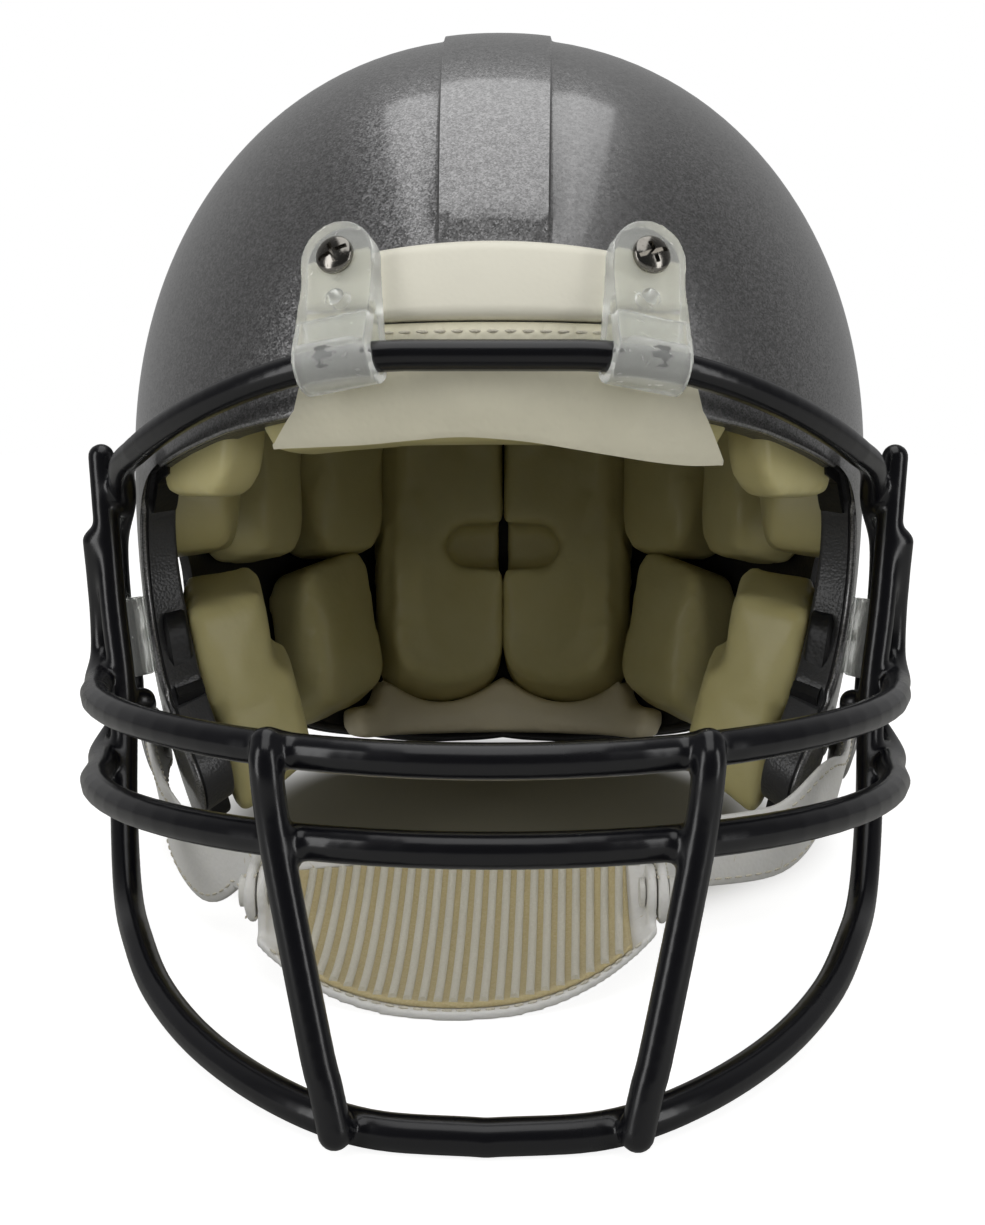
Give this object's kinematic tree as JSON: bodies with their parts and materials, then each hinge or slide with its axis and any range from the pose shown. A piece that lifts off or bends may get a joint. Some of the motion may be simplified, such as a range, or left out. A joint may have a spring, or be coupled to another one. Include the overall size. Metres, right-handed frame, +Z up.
{
  "type": "football helmet",
  "caption": "Hard domed helmet with a wire face guard on clear clips, bumpers, inflatable liner pads and a snapped chin strap with a padded cup.",
  "frame": {"origin": "middle of the bounding box's underside, on the table the helmet rests on", "axes": "+Z up, -Y the way the face looks, +X the right side of a front view; the helmet leans back on its jaw bar's foot and the shell's rear edge"},
  "size_m": [0.2454, 0.3652, 0.2514],
  "materials": {
    "shell_paint": "metallic charcoal paint under gloss clear coat",
    "bumper_plastic": "satin cream plastic",
    "clear_plastic": "clear, slightly milky",
    "screw_steel": "zinc plated",
    "nut_steel": "plated",
    "snap_metal": "nickel plated",
    "guard_vinyl": "black vinyl dip over steel wire",
    "nape_vinyl": "white vinyl",
    "pad_vinyl": "cream vinyl",
    "strap_vinyl": "white vinyl",
    "lining_fabric": "ribbed terry",
    "valve_rubber": "matte black"
  },
  "bodies": {
    "helmet": {"shell": "shell_paint", "front_bumper": "bumper_plastic", "rear_bumper": "bumper_plastic", "rear_bumper_screws": "screw_steel", "air_valves": "valve_rubber", "brow_bar": "guard_vinyl", "upper_mouth_bar": "guard_vinyl", "lower_mouth_bar": "guard_vinyl", "jaw_bar": "guard_vinyl", "left_upright": "guard_vinyl", "right_upright": "guard_vinyl", "left_top_clip": "clear_plastic", "right_top_clip": "clear_plastic", "left_side_clip": "clear_plastic", "right_side_clip": "clear_plastic", "top_clip_screws": "screw_steel", "side_clip_screws": "screw_steel", "clip_nuts": "nut_steel", "crown_pad": "pad_vinyl", "forehead_pad": "pad_vinyl", "left_temple_pad": "pad_vinyl", "right_temple_pad": "pad_vinyl", "left_rear_pad": "pad_vinyl", "right_rear_pad": "pad_vinyl", "left_corner_pad": "pad_vinyl", "right_corner_pad": "pad_vinyl", "left_side_pad": "pad_vinyl", "right_side_pad": "pad_vinyl", "left_lower_rear_pad": "pad_vinyl", "right_lower_rear_pad": "pad_vinyl", "left_jaw_pad": "pad_vinyl", "right_jaw_pad": "pad_vinyl", "nape_pad": "nape_vinyl", "snap_studs": "snap_metal", "stud_nuts": "nut_steel", "left_rear_strap": "strap_vinyl", "right_rear_strap": "strap_vinyl", "rear_snap_buckles": "snap_metal"},
    "chin_straps": {"left_strap": "strap_vinyl", "right_strap": "strap_vinyl", "front_snap_buckles": "snap_metal"},
    "chin_cup": {"chin_cup": "strap_vinyl", "cup_lining": "lining_fabric", "cup_rivets": "snap_metal"}
  },
  "joints": [
    {"name": "strap_swing", "type": "hinge", "parent": "helmet", "child": "chin_straps", "pos_m": [0, 0.00878, 0.03419], "axis": [-1, 0, 0], "range_deg": [0, 14]},
    {"name": "cup_rock", "type": "hinge", "parent": "chin_straps", "child": "chin_cup", "pos_m": [-0.009, -0.09169, 0.021], "axis": [-1, 0, 0], "range_deg": [0, 35]}
  ]
}
